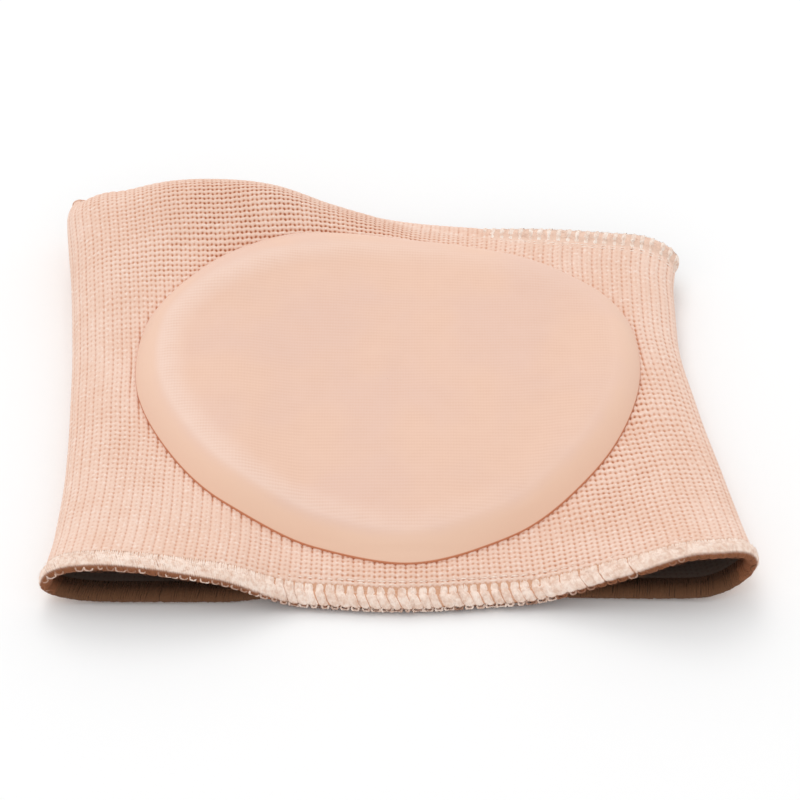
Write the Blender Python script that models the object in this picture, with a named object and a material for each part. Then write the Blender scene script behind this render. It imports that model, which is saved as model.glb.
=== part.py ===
"""Metatarsal pad: a covered gel pad on a knitted forefoot sleeve, as it lies on a table.

The sleeve is a flattened tube of ribbed knit, open at both ends, with an overlocked hem round
each opening. The pad lies on its upper wall. The sleeve stands a little open at the front, humps
up at the rear left and rolls over there, as soft knit does.

Metres, +Z up. X runs across the sleeve, Y from the front opening to the rear one. The origin is
on the underside, where the sleeve rests.

The wall is one surface with two coordinates. `around` runs from 0 at the left fold, over the top
to 0.5 at the right fold, and back below to 1. `along` runs from 0 at the front end to 1 at the
rear end. `across` is the same place seen from above: -1 at the left fold, 1 at the right fold.
"""

from collections import namedtuple
from math import pi

import bmesh
import bpy
import numpy as np

MM = 0.001

# The sleeve, outside.
SLEEVE_WIDTH = 106 * MM
SLEEVE_LENGTH = 88 * MM
LOBE_RISE = 10 * MM
KNIT_WALL = 1.0 * MM

# The hems: their size along the sleeve and through the cloth.
HEM_WIDTH = 3.2 * MM
HEM_THICKNESS = 2.2 * MM

# Clear space between pieces that touch on the real thing.
PIECE_GAP = 0.3 * MM

# How far from each end the cloth starts to turn down, and to rise over the hem below it. At the
# side folds it turns in half that length.
FRONT_TURN_LENGTH = 5 * MM
REAR_TURN_LENGTH = 9 * MM
HEM_RISE_LENGTH = 6 * MM

# The side folds: the share of the width where the rounding starts, how full it is, and the share
# of the half turn over which an end's turn down fades out below the fold.
FOLD_START = 0.70
FOLD_POWER = 3.5
FOLD_TURN_FADE = 0.4

# The pad: where its edge lies on the upper wall, and its section.
PAD_LEFT_MARGIN = 10.1 * MM
PAD_RIGHT_MARGIN = 8.9 * MM
PAD_FRONT_MARGIN = 4.0 * MM
PAD_REAR_MARGIN = 11.0 * MM
PAD_THICKNESS = 3.6 * MM
PAD_EDGE = 0.7 * MM
PAD_BEVEL = 4.4 * MM
PAD_CROWN = 0.3 * MM

# Steps of the meshes, and of the search for a place on the wall: its step for a slope, and how
# many times it looks closer.
STEPS_AROUND = 64
STEPS_ALONG = 18
HEM_STEPS = 8
PAD_STEPS = 44
SLOPE_STEP = 1e-4
SEARCHES = 12

# The side folds' distance from the middle, as shares of half the sleeve's width.
Fold = namedtuple("Fold", "along left right")
FOLDS = [
    Fold(0.00, 0.975, 0.966),
    Fold(0.08, 0.960, 0.950),
    Fold(0.25, 0.945, 0.915),
    Fold(0.50, 0.955, 0.860),
    Fold(0.75, 0.980, 0.820),
    Fold(0.92, 1.008, 0.820),
    Fold(1.00, 1.015, 0.830),
]

# Heights of the outer face above the sleeve pressed flat, as shares of LOBE_RISE.
Height = namedtuple(
    "Height",
    "along left_fold left_shoulder left_lobe left_saddle right_saddle right_lobe right_shoulder right_fold",
)
HEIGHTS = [
    Height(0.00, 0.14, 0.50, 0.36, 0.02, 0.02, 0.33, 0.66, 0.36),
    Height(0.08, 0.17, 0.50, 0.38, 0.05, 0.05, 0.33, 0.62, 0.34),
    Height(0.25, 0.26, 0.47, 0.42, 0.20, 0.17, 0.34, 0.48, 0.27),
    Height(0.50, 0.28, 0.52, 0.54, 0.42, 0.34, 0.38, 0.41, 0.22),
    Height(0.75, 0.38, 0.78, 0.95, 0.75, 0.46, 0.44, 0.42, 0.22),
    Height(0.92, 0.58, 1.02, 1.38, 1.10, 0.56, 0.52, 0.46, 0.22),
    Height(1.00, 0.62, 1.06, 1.38, 1.10, 0.57, 0.54, 0.48, 0.22),
]
ACROSS = {
    "left_shoulder": -0.84,
    "left_lobe": -0.52,
    "left_saddle": -0.25,
    "right_saddle": 0.35,
    "right_lobe": 0.62,
    "right_shoulder": 0.86,
}

# The two ends: how far the upper and lower wall reach from the middle, as shares of half the
# wall's length, and how many degrees the cloth turns down before it ends.
End = namedtuple("End", "across upper lower turn")
FRONT_END = [
    End(-1.00, 0.900, 0.900, 0),
    End(-0.85, 0.920, 0.905, 0),
    End(-0.50, 0.940, 0.905, 10),
    End(-0.25, 0.955, 0.855, 28),
    End(0.00, 0.975, 0.820, 30),
    End(0.25, 0.955, 0.835, 28),
    End(0.50, 0.930, 0.885, 15),
    End(0.85, 0.905, 0.890, 0),
    End(1.00, 0.845, 0.845, 0),
]
REAR_END = [
    End(-1.00, 1.000, 1.000, 65),
    End(-0.85, 1.085, 0.990, 75),
    End(-0.50, 1.060, 0.950, 85),
    End(0.00, 0.985, 0.860, 60),
    End(0.25, 0.850, 0.790, 30),
    End(0.50, 0.755, 0.730, 12),
    End(0.85, 0.735, 0.715, 5),
    End(1.00, 0.690, 0.690, 0),
]

# The pad's outline from above, as shares of half its width and length, from its front tip round
# its right side.
Corner = namedtuple("Corner", "across along")
PAD_OUTLINE = [
    Corner(0.07, -1.00),
    Corner(0.40, -0.88),
    Corner(0.68, -0.66),
    Corner(0.89, -0.33),
    Corner(1.00, 0.10),
    Corner(0.96, 0.52),
    Corner(0.75, 0.77),
    Corner(0.38, 0.94),
    Corner(-0.05, 1.00),
    Corner(-0.44, 0.93),
    Corner(-0.76, 0.71),
    Corner(-0.96, 0.43),
    Corner(-0.99, 0.02),
    Corner(-0.87, -0.36),
    Corner(-0.65, -0.69),
    Corner(-0.32, -0.88),
]

# The bevel's section: inset as a share of PAD_BEVEL, rise as a share of the way from PAD_EDGE
# to PAD_THICKNESS.
Bevel = namedtuple("Bevel", "inset rise")
PAD_SECTION = [
    Bevel(0.00, 0.00),
    Bevel(0.12, 0.22),
    Bevel(0.35, 0.56),
    Bevel(0.65, 0.86),
    Bevel(1.00, 1.00),
]
PAD_FACE_RINGS = 4

# Colours as red, green, blue from 0 to 255, and roughness.
KNIT_LOOK = ((238, 203, 186), 0.92)
HEM_LOOK = ((244, 222, 208), 0.95)
PAD_LOOK = ((237, 198, 178), 0.72)

# Worked out from the sizes above.
PRESSED_HEIGHT = HEM_THICKNESS + PIECE_GAP + KNIT_WALL
HEM_RISE = (HEM_THICKNESS - KNIT_WALL) / 2
HALF_WALL_LENGTH = SLEEVE_LENGTH / 2 - HEM_WIDTH - PIECE_GAP


def blend(amount):
    """0 to 1 with a level start and end."""
    share = np.clip(amount, 0, 1)
    return share * share * (3 - 2 * share)


def steady_slopes(knots, values):
    """Slopes for a curve that never swings past its knots: level at each high and low."""
    rises = np.diff(values, axis=-1) / np.diff(knots)
    before, after = rises[..., :-1], rises[..., 1:]
    same_way = before * after > 0
    mean = 2 * before * after / np.where(same_way, before + after, 1)
    inner = np.where(same_way, mean, 0)
    return np.concatenate([rises[..., :1], inner, rises[..., -1:]], -1)


def smooth_curve(knots, values, slopes, at):
    """Values at `at` on a cubic curve through the knots. The values may have one row per place."""
    at = np.clip(at, knots[0], knots[-1])
    left = np.clip(np.searchsorted(knots, at, side="right") - 1, 0, len(knots) - 2)
    step = knots[left + 1] - knots[left]
    share = (at - knots[left]) / step

    def pick(rows, index):
        if np.ndim(rows) == 1:
            return rows[index]
        return np.take_along_axis(rows, index[..., None], -1)[..., 0]

    rise = blend(share)
    out_of_left = share * (1 - share) ** 2 * step * pick(slopes, left)
    into_right = share**2 * (share - 1) * step * pick(slopes, left + 1)
    return (1 - rise) * pick(values, left) + rise * pick(values, left + 1) + out_of_left + into_right


def column(table, name, at):
    """A table's column, read at `at` along the table's first column."""
    knots = np.array([row[0] for row in table])
    values = np.array([getattr(row, name) for row in table])
    return smooth_curve(knots, values, steady_slopes(knots, values), at)


def folds_at(along):
    """X of the left and right fold."""
    half = SLEEVE_WIDTH / 2
    return -half * column(FOLDS, "left", along), half * column(FOLDS, "right", along)


def roundness(across):
    """1 on the open part of a wall, falling to 0 at the very edge of a side fold."""
    into_fold = np.clip((np.abs(across) - FOLD_START) / (1 - FOLD_START), 0, 1)
    return np.sqrt(1 - into_fold**FOLD_POWER)


def section_height(across, along, upper):
    """Z of the upper or lower wall's outer face, before the ends turn."""
    knots = np.array([-1, *ACROSS.values(), 1])
    names = ["left_shoulder", *ACROSS, "right_shoulder"]
    shares = np.stack([column(HEIGHTS, name, along) for name in names], -1)
    rise = smooth_curve(knots, shares, steady_slopes(knots, shares), across)
    top = PRESSED_HEIGHT + LOBE_RISE * rise
    left, right = column(HEIGHTS, "left_fold", along), column(HEIGHTS, "right_fold", along)
    fold = PRESSED_HEIGHT / 2 + LOBE_RISE * (left + (right - left) * (across + 1) / 2)
    full = roundness(across)
    return np.where(upper, fold + (top - fold) * full, fold * (1 - full))


def turned(run, turn, length):
    """How far a wall that turns by `turn` over `length` has moved along and inward at `run`."""
    radius = length / np.maximum(turn, 1e-6)
    return radius * np.sin(run / radius), radius * (1 - np.cos(run / radius))


def wall_point(around, along):
    """Points of the sleeve's outer face."""
    around, along = np.broadcast_arrays(np.asarray(around, float), np.asarray(along, float))
    across, side = -np.cos(2 * pi * around), np.sin(2 * pi * around)
    upper = side >= 0
    left, right = folds_at(along)
    x = (left + right) / 2 + across * (right - left) / 2
    z = section_height(across, along, upper)

    front, rear = (
        HALF_WALL_LENGTH * np.where(upper, column(end, "upper", across), column(end, "lower", across))
        for end in (FRONT_END, REAR_END)
    )
    length = front + rear
    y = -front + length * along

    full = roundness(across)
    inward_x, inward_z = -np.sign(across) * (1 - full), -full
    inward = np.hypot(inward_x, inward_z)
    on_top = np.clip(0.5 + side / FOLD_TURN_FADE, 0, 1)
    for end, turn_length, from_end, outward in (
        (FRONT_END, FRONT_TURN_LENGTH, along * length, -1),
        (REAR_END, REAR_TURN_LENGTH, (1 - along) * length, 1),
    ):
        turn = np.radians(column(end, "turn", across)) * on_top
        turn_length = turn_length * (1 + full) / 2
        run = np.clip(turn_length - from_end, 0, None)
        reach, depth = turned(run, turn, turn_length)
        x = x + depth * inward_x / inward
        y = y + outward * (reach - run)
        z = z + depth * inward_z / inward

    z = z + HEM_RISE * blend(1 - np.minimum(along, 1 - along) * length / HEM_RISE_LENGTH)
    return np.stack([x, y, z], -1)


def unit(vectors):
    return vectors / np.linalg.norm(vectors, axis=-1, keepdims=True)


def wall_frame(around, along):
    """Unit vectors of the wall: along it towards the rear, and out of its outer face."""
    inside = np.clip(along, SLOPE_STEP, 1 - SLOPE_STEP)
    rearward = wall_point(around, inside + SLOPE_STEP) - wall_point(around, inside - SLOPE_STEP)
    sideways = wall_point(around + SLOPE_STEP, inside) - wall_point(around - SLOPE_STEP, inside)
    return unit(rearward), unit(np.cross(sideways, rearward))


def wall_below(x, y):
    """The upper wall's (around, along) at places seen from above."""
    target = np.stack([x, y], -1)
    longest_move, lowest, highest = 0.1, (0.02, 0.0), (0.48, 0.999)
    place = np.stack([np.full_like(x, 0.25), np.full_like(x, 0.5)], -1)
    for _ in range(SEARCHES):
        around, along = place[..., 0], place[..., 1]
        here = wall_point(around, along)[..., :2]
        by_around = (wall_point(around + SLOPE_STEP, along)[..., :2] - here) / SLOPE_STEP
        by_along = (wall_point(around, along + SLOPE_STEP)[..., :2] - here) / SLOPE_STEP
        jacobian = np.stack([by_around, by_along], -1)
        move = np.linalg.solve(jacobian, (target - here)[..., None])[..., 0]
        place = np.clip(place + np.clip(move, -longest_move, longest_move), lowest, highest)
    return place[..., 0], place[..., 1]


def wall_grid():
    """(around, along) of the sleeve's mesh. The steps are shorter towards both ends."""
    around = np.arange(STEPS_AROUND) / STEPS_AROUND
    along = (1 - np.cos(pi * np.arange(STEPS_ALONG + 1) / STEPS_ALONG)) / 2
    return np.meshgrid(around, along)


def sleeve_rings():
    """Rings of the sleeve: along its outer face to the rear, and back along its inner face."""
    around, along = wall_grid()
    outer = wall_point(around, along)
    normal = wall_frame(around, along)[1]
    inner = outer - KNIT_WALL * normal
    return np.concatenate([outer, inner[::-1]])


def hem_rings(along):
    """Rings of the rounded edge that carries on from the wall's end at `along`."""
    around = np.arange(STEPS_AROUND) / STEPS_AROUND
    place = np.full(STEPS_AROUND, float(along))
    rearward, normal = wall_frame(around, place)
    outward = rearward if along else -rearward
    middle = wall_point(around, place) - normal * KNIT_WALL / 2
    middle = middle + outward * (PIECE_GAP + HEM_WIDTH / 2)
    turns = 2 * pi * np.arange(HEM_STEPS) / HEM_STEPS
    rings = [
        middle + outward * np.cos(turn) * HEM_WIDTH / 2 + normal * np.sin(turn) * HEM_THICKNESS / 2
        for turn in turns
    ]
    return np.array(rings if along else rings[::-1])


def closed_curve(corners, steps):
    """`steps` places on a smooth closed curve through the corners."""
    corners = np.array(corners, float)
    count = len(corners)
    around = np.concatenate([corners[-2:], corners, corners[:3]]).T
    knots = np.arange(-2, count + 3)
    at = np.arange(steps) * count / steps
    return np.stack([smooth_curve(knots, row, np.gradient(row), at) for row in around], -1)


def pad_plan():
    """The pad's outline and middle, seen from above."""
    left, right = folds_at(0.5)
    front = -HALF_WALL_LENGTH * column(FRONT_END, "upper", 0)
    rear = HALF_WALL_LENGTH * column(REAR_END, "upper", 0)
    low = np.array([left + PAD_LEFT_MARGIN, front + PAD_FRONT_MARGIN])
    high = np.array([right - PAD_RIGHT_MARGIN, rear - PAD_REAR_MARGIN])
    middle = (low + high) / 2
    return middle + closed_curve(PAD_OUTLINE, PAD_STEPS) * (high - low) / 2, middle


def pad_rings():
    """Rings of the pad from the middle of its face, over its bevel and back below, and both
    middles."""
    outline, middle = pad_plan()
    inward = middle - outline
    distance = np.linalg.norm(inward, axis=-1, keepdims=True)

    insets = [row.inset * PAD_BEVEL / distance for row in PAD_SECTION]
    heights = [PAD_EDGE + row.rise * (PAD_THICKNESS - PAD_EDGE) for row in PAD_SECTION]
    face = insets[-1]
    for ring in range(1, PAD_FACE_RINGS):
        share = ring / PAD_FACE_RINGS
        insets.append(face + (1 - face) * share)
        heights.append(PAD_THICKNESS + PAD_CROWN * (1 - (1 - share) ** 2))

    def lifted(plan, height):
        around, along = wall_below(plan[..., 0], plan[..., 1])
        return wall_point(around, along) + wall_frame(around, along)[1] * height

    plans = [outline + inward * inset for inset in insets]
    top = [lifted(plan, PIECE_GAP + height) for plan, height in zip(plans, heights)]
    below = [lifted(plan, PIECE_GAP) for plan in plans]
    top_middle = lifted(middle, PIECE_GAP + PAD_THICKNESS + PAD_CROWN)
    return top[::-1] + below, top_middle, lifted(middle, PIECE_GAP)


def skin(mesh, rings, closed):
    """Quads between neighbouring rings, and between the last and first ring where closed."""
    rows = [[mesh.verts.new(point) for point in ring] for ring in rings]
    pairs = zip(rows, rows[1:] + rows[:1]) if closed else zip(rows, rows[1:])
    for row, following in pairs:
        for step, corner in enumerate(row):
            mesh.faces.new((corner, row[step - 1], following[step - 1], following[step]))
    return rows


def fan(mesh, point, ring):
    """Triangles from a point to a ring."""
    middle = mesh.verts.new(point)
    for step, corner in enumerate(ring):
        mesh.faces.new((ring[step - 1], corner, middle))


def material(name, look):
    colour, roughness = look
    linear = [((part / 255 + 0.055) / 1.055) ** 2.4 for part in colour]
    made = bpy.data.materials.new(name)
    made.use_nodes = True
    shader = made.node_tree.nodes["Principled BSDF"]
    shader.inputs["Base Color"].default_value = (*linear, 1)
    shader.inputs["Roughness"].default_value = roughness
    shader.inputs["Metallic"].default_value = 0.0
    return made


def add_piece(name, mesh, look):
    """A named object from a bmesh, shaded smooth, with its faces pointing out."""
    bmesh.ops.recalc_face_normals(mesh, faces=mesh.faces)
    data = bpy.data.meshes.new(name)
    mesh.to_mesh(data)
    mesh.free()
    data.shade_smooth()
    data.materials.append(material(name, look))
    piece = bpy.data.objects.new(name, data)
    bpy.context.scene.collection.objects.link(piece)
    return piece


def add_knit_sleeve():
    mesh = bmesh.new()
    skin(mesh, sleeve_rings(), closed=True)
    return add_piece("knit_sleeve", mesh, KNIT_LOOK)


def add_hem(name, along):
    mesh = bmesh.new()
    skin(mesh, hem_rings(along), closed=True)
    return add_piece(name, mesh, HEM_LOOK)


def add_gel_pad():
    mesh = bmesh.new()
    rings, top_middle, low_middle = pad_rings()
    rows = skin(mesh, rings, closed=False)
    fan(mesh, top_middle, rows[0])
    fan(mesh, low_middle, rows[-1])
    return add_piece("gel_pad", mesh, PAD_LOOK)


def main():
    for old in list(bpy.data.objects):
        bpy.data.objects.remove(old)
    add_knit_sleeve()
    add_hem("front_hem", along=0)
    add_hem("rear_hem", along=1)
    add_gel_pad()


main()
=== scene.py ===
"""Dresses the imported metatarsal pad: ribbed knit, overlocked hems, a covered gel pad and the stage.

Metres, +Z up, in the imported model's frame: X runs across the sleeve, Y from the front opening to
the rear one. The sleeve's wall is one surface. `around` runs from 0 at the left fold, over the
top to 0.5 at the right fold, and back below to 1. `across` runs from -1 at the left fold to 1 at
the right one, and `along` from 0 at the front end to 1 at the rear end. On the knit, `rib` counts
ribs round the sleeve and `course` counts rows along it.
"""

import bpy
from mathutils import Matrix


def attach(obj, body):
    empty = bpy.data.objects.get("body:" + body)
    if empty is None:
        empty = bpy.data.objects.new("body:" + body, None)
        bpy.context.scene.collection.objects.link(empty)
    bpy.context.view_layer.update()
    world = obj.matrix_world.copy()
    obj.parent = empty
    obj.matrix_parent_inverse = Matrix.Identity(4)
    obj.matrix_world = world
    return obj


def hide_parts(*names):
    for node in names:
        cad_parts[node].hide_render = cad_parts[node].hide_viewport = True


bl_info = {
    "name": "Metatarsal Pad",
    "version": (1, 0, 0),
    "blender": (4, 5, 0),
    "location": "3D View > Sidebar > Metatarsal Pad",
    "description": "Builds a knitted forefoot sleeve with a covered gel pad, and its stage",
    "category": "Add Mesh",
}

from collections import namedtuple
from math import pi

import bpy
import numpy as np
from bpy.props import FloatProperty, FloatVectorProperty, IntProperty, PointerProperty
from mathutils import Vector

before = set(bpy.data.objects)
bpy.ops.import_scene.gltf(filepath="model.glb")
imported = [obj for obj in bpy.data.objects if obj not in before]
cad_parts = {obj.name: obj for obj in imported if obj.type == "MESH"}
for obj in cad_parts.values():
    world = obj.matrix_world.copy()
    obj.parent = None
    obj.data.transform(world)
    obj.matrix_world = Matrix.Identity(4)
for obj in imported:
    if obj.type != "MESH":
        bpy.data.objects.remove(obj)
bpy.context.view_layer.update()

MM = 0.001
BODY = "root"


def table(columns, *rows):
    """Rows with named columns. The others are read along the first one."""
    row = namedtuple("row", columns)
    return [row(*values) for values in rows]


# The side folds' distance from the middle, as shares of half the sleeve's width.
FOLDS = table(
    "along left right",
    (0.00, 0.975, 0.966),
    (0.08, 0.960, 0.950),
    (0.25, 0.945, 0.915),
    (0.50, 0.955, 0.860),
    (0.75, 0.980, 0.820),
    (0.92, 1.008, 0.820),
    (1.00, 1.015, 0.830),
)

# Heights of the outer face above the sleeve pressed flat, as shares of the lobe's rise.
HEIGHTS = table(
    "along left_fold left_shoulder left_lobe left_saddle"
    " right_saddle right_lobe right_shoulder right_fold",
    (0.00, 0.14, 0.50, 0.36, 0.02, 0.02, 0.33, 0.66, 0.36),
    (0.08, 0.17, 0.50, 0.38, 0.05, 0.05, 0.33, 0.62, 0.34),
    (0.25, 0.26, 0.47, 0.42, 0.20, 0.17, 0.34, 0.48, 0.27),
    (0.50, 0.28, 0.52, 0.54, 0.42, 0.34, 0.38, 0.41, 0.22),
    (0.75, 0.38, 0.78, 0.95, 0.75, 0.46, 0.44, 0.42, 0.22),
    (0.92, 0.58, 1.02, 1.38, 1.10, 0.56, 0.52, 0.46, 0.22),
    (1.00, 0.62, 1.06, 1.38, 1.10, 0.57, 0.54, 0.48, 0.22),
)
ACROSS = {
    "left_shoulder": -0.84,
    "left_lobe": -0.52,
    "left_saddle": -0.25,
    "right_saddle": 0.35,
    "right_lobe": 0.62,
    "right_shoulder": 0.86,
}

# The two ends: how far the upper and lower wall reach from the middle, as shares of half the
# wall's length, and how many degrees the cloth turns down before it ends.
FRONT_END = table(
    "across upper lower turn",
    (-1.00, 0.900, 0.900, 0),
    (-0.85, 0.920, 0.905, 0),
    (-0.50, 0.940, 0.905, 10),
    (-0.25, 0.955, 0.855, 28),
    (0.00, 0.975, 0.820, 30),
    (0.25, 0.955, 0.835, 28),
    (0.50, 0.930, 0.885, 15),
    (0.85, 0.905, 0.890, 0),
    (1.00, 0.845, 0.845, 0),
)
REAR_END = table(
    "across upper lower turn",
    (-1.00, 1.000, 1.000, 65),
    (-0.85, 1.085, 0.990, 75),
    (-0.50, 1.060, 0.950, 85),
    (0.00, 0.985, 0.860, 60),
    (0.25, 0.850, 0.790, 30),
    (0.50, 0.755, 0.730, 12),
    (0.85, 0.735, 0.715, 5),
    (1.00, 0.690, 0.690, 0),
)

# How far the upper wall's knit is stretched open: 0 where its ribs close up, 1 where every
# stitch shows a hole.
STRETCHES = table(
    "along left_fold left_shoulder left_lobe middle right_lobe right_fold",
    (0.00, 0.12, 0.12, 0.30, 0.75, 0.50, 0.15),
    (0.05, 0.05, 0.10, 0.12, 0.50, 0.50, 0.10),
    (0.14, 0.05, 0.18, 0.10, 0.10, 0.58, 0.18),
    (0.30, 0.05, 0.40, 0.45, 0.10, 0.74, 0.30),
    (0.45, 0.05, 0.15, 0.25, 0.30, 0.80, 0.32),
    (0.60, 0.08, 0.30, 0.60, 0.80, 0.76, 0.24),
    (0.75, 0.05, 0.55, 0.90, 1.00, 0.45, 0.12),
    (0.90, 0.05, 0.50, 0.95, 1.00, 0.12, 0.03),
    (1.00, 0.00, 0.25, 0.70, 0.50, 0.00, 0.00),
)
STRETCH_ACROSS = (-1.0, -0.80, -0.50, 0.0, 0.62, 1.0)

# How many rows of stitches the wall has from its front end to its rear one, as shares of the most.
ROWS = table(
    "across share",
    (-1.00, 0.995), (-0.52, 1.000), (-0.25, 0.955), (0.00, 0.905),
    (0.50, 0.780), (0.85, 0.747), (1.00, 0.742),
)

# The overlock thread of the front hem. Even is 0 where each stitch stands out as a bundle and 1
# where the threads lie together as one soft roll. Loops is how pale the loops on the free edge
# are; the rest of each loop is painted brown shade.
FRONT_THREAD = table(
    "across even loops",
    (-1.00, 0.85, 0.65),
    (-0.50, 0.90, 0.72),
    (-0.28, 0.40, 0.80),
    (-0.10, 0.05, 0.90),
    (0.35, 0.10, 0.85),
    (0.60, 0.55, 0.45),
    (1.00, 0.80, 0.30),
)

# Small folds of the upper wall at the rear end, in millimetres up or down.
RIPPLES = table(
    "across rise",
    (-1.00, 0.0), (-0.87, -0.8), (-0.70, 0.0), (-0.54, -0.5), (-0.30, 1.0), (-0.12, -0.5),
    (0.05, -1.1), (0.25, -0.4), (0.50, 0.5), (0.80, 0.0), (1.00, 0.0),
)

# The pad's outline from above, as shares of half its width and length, from its front tip round
# its right side.
PAD_OUTLINE = [
    (0.07, -1.00), (0.40, -0.88), (0.68, -0.66), (0.89, -0.33), (1.00, 0.10), (0.96, 0.52),
    (0.75, 0.77), (0.38, 0.94), (-0.05, 1.00), (-0.44, 0.93), (-0.76, 0.71), (-0.96, 0.43),
    (-0.99, 0.02), (-0.87, -0.36), (-0.65, -0.69), (-0.32, -0.88),
]


def linear(red, green, blue):
    """A colour given from 0 to 255, as Blender's linear values."""
    return [((part / 255 + 0.055) / 1.055) ** 2.4 for part in (red, green, blue)]


def length(name, description, millimetres):
    options = {"min": 0.0, "unit": "LENGTH", "precision": 5}
    return FloatProperty(name=name, description=description, default=millimetres * MM, **options)


def colour(name, description, *parts):
    options = {"min": 0.0, "max": 1.0, "subtype": "COLOR"}
    return FloatVectorProperty(
        name=name, description=description, default=linear(*parts), **options
    )


def amount(name, description, value):
    return FloatProperty(name=name, description=description, default=value, min=0.0)


def number(name, description, value, least=0):
    return IntProperty(name=name, description=description, default=value, min=least)


class SleeveSizes(bpy.types.PropertyGroup):
    width: length("Width", "Width of the sleeve lying flat", 106)
    length: length("Length", "Length of the sleeve with its hems", 88)
    lobe_rise: length("Lobe rise", "Height that the tables of sections share", 10)
    knit_wall: length("Knit wall", "Thickness of the knit", 1.0)
    hem_width: length("Hem width", "Width of a hem along the sleeve", 3.2)
    hem_thickness: length("Hem thickness", "Thickness of a hem through the cloth", 2.2)
    gap: length("Gap", "Clear space between neighbouring pieces of the packed model", 0.3)
    front_turn: length("Front turn", "Length over which the front end turns down", 5)
    rear_turn: length("Rear turn", "Length over which the rear end turns down", 9)
    hem_rise_length: length("Hem rise length", "Length over which the wall rises to its hem", 6)
    rib_pitch_left: length("Rib pitch left", "Width of a rib at the left fold", 1.38)
    rib_pitch_right: length("Rib pitch right", "Width of a rib at the right fold", 1.56)
    courses: number("Courses", "Rows of stitches from end to end", 88, 8)
    relief: length("Relief", "Depth of the grooves and holes of the knit", 0.26)


class SleeveColours(bpy.types.PropertyGroup):
    knit: colour("Knit", "Face of the stitches", 240, 208, 190)
    knit_warm: colour("Knit, warm", "Face of the stitches where the yarn is warmer", 235, 198, 177)
    # Painted highlights: pale flecks laid on the yarn at random.
    knit_highlight_fleck: colour("Knit, flecks", "Palest fibres of the yarn", 252, 234, 223)
    # Painted shade: the knit is painted darker and warmer in the grooves between its ribs.
    groove: colour("Groove", "Between two ribs", 208, 146, 114)
    # Painted shade: the holes of stretched knit are painted dark, as the shade inside the sleeve.
    hole: colour("Hole", "Between open stitches", 168, 96, 64)
    # Painted shade: the inside of the sleeve is the same knit, painted dark brown as the shade in it.
    lining: colour("Lining", "Inside of the sleeve", 70, 57, 48)
    hem: colour("Hem thread", "Woolly overlock thread of the front hem", 255, 236, 223)
    hem_rear: colour("Rear hem thread", "Overlock thread of the rear hem", 255, 241, 230)
    # A darker tone of the thread in random clumps: partly its uneven tone, partly painted shade
    # between its fluffy clumps.
    hem_tone_and_shade: colour("Hem thread, dips", "Overlock thread where it lies deeper", 235, 203, 183)
    # Painted shade of the hem: brown along its free edge, darker still on the side towards the foot.
    hem_fringe_shade: colour("Hem fringe", "Overlock thread along the free edge", 150, 96, 66)
    hem_shade: colour("Hem shade", "Overlock thread on the side towards the foot", 110, 76, 53)
    # The cloth's own colour with painted shade, for the gaps between the front hem's bundles.
    hem_core_shaded: colour("Hem core", "Cloth edge between the threads", 220, 170, 140)
    hem_rear_core: colour("Rear hem core", "The same of the rear hem", 241, 207, 187)
    pad: colour("Pad cover", "Stretch cover of the pad", 233, 197, 180)
    # Painted highlight on the cover's shoulder, strongest on the left.
    pad_crest_highlight: colour("Pad crest", "Cover drawn tight over the gel's shoulder", 241, 210, 194)
    # Warmer tone of the cover, in random patches, and as painted shade on the bevel, most at the
    # front.
    pad_tone_and_bevel_shade: colour("Pad, warm", "Cover on the bevel, where the gel shows more", 240, 201, 176)
    pad_line: colour("Pad lines", "Fine lines of the cover", 226, 184, 160)
    # Painted shadow along the cover's rim, where it meets the knit.
    pad_rim_shadow: colour("Pad seam", "Line where the cover meets the knit", 206, 134, 98)


class ThreadSizes(bpy.types.PropertyGroup):
    stitch: length("Stitch", "Distance between two overlock stitches", 1.5)
    strand: length("Strand", "Radius of one strand of the overlock thread", 0.21)
    strands: number("Strands", "Strands that show in one stitch", 6, 2)
    front_bundle: amount("Front bundle", "Share of a front stitch that its strands cover", 0.66)
    rear_bundle: amount("Rear bundle", "Share of a rear stitch that its strands cover", 0.28)
    reach: length("Reach", "How far behind the edge the needle goes in", 0.35)
    fibre: length("Fibre", "Radius of a loose fibre", 0.020)
    fibres: number("Fibres", "Loose fibres on each hem", 2600)


class PadSizes(bpy.types.PropertyGroup):
    left: length("Left margin", "From the left fold to the pad", 10.1)
    right: length("Right margin", "From the pad to the right fold", 8.9)
    front: length("Front margin", "From the front hem to the pad", 4.0)
    rear: length("Rear margin", "From the pad to the rear hem", 11.0)
    thickness: length("Thickness", "Thickness at the inner end of the bevel", 3.6)
    rim: length("Rim", "Height of the thin welded rim above the knit", 0.26)
    bevel: length("Bevel", "Width of the bevel", 4.4)
    crown: length("Crown", "Further rise of the face to its middle", 0.3)


class StageSettings(bpy.types.PropertyGroup):
    elevation: FloatProperty(
        name="Elevation",
        description="Camera above the floor",
        default=44 * pi / 180,
        subtype="ANGLE",
    )
    distance: length("Distance", "From the camera to the point it looks at", 500)
    look_height: length("Look height", "Height of the point it looks at", 3)
    view_width: length("View width", "Width seen at that point", 800 / 6.5)
    key: amount("Key light", "Power of the key light in watts", 6.0)
    rear: amount("Rear light", "Power of the low light behind in watts", 4.2)
    sky: amount("Sky", "Strength of the even light all round", 0.82)
    floor: colour("Floor", "Plain pale floor", 250, 250, 250)


def blend(share):
    """0 to 1 with a level start and end."""
    share = np.clip(share, 0, 1)
    return share * share * (3 - 2 * share)


def unit(vectors):
    return vectors / np.linalg.norm(vectors, axis=-1, keepdims=True)


def across_at(around):
    return -np.cos(2 * pi * around)


def side_at(around):
    """1 at the middle of the upper wall, 0 at the folds, -1 at the middle of the lower one."""
    return np.sin(2 * pi * around)


def steady_slopes(knots, values):
    """Slopes for a curve that never swings past its knots: level at each high and low."""
    rises = np.diff(values, axis=-1) / np.diff(knots)
    before, after = rises[..., :-1], rises[..., 1:]
    same_way = before * after > 0
    mean = 2 * before * after / np.where(same_way, before + after, 1)
    return np.concatenate([rises[..., :1], np.where(same_way, mean, 0), rises[..., -1:]], -1)


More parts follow.
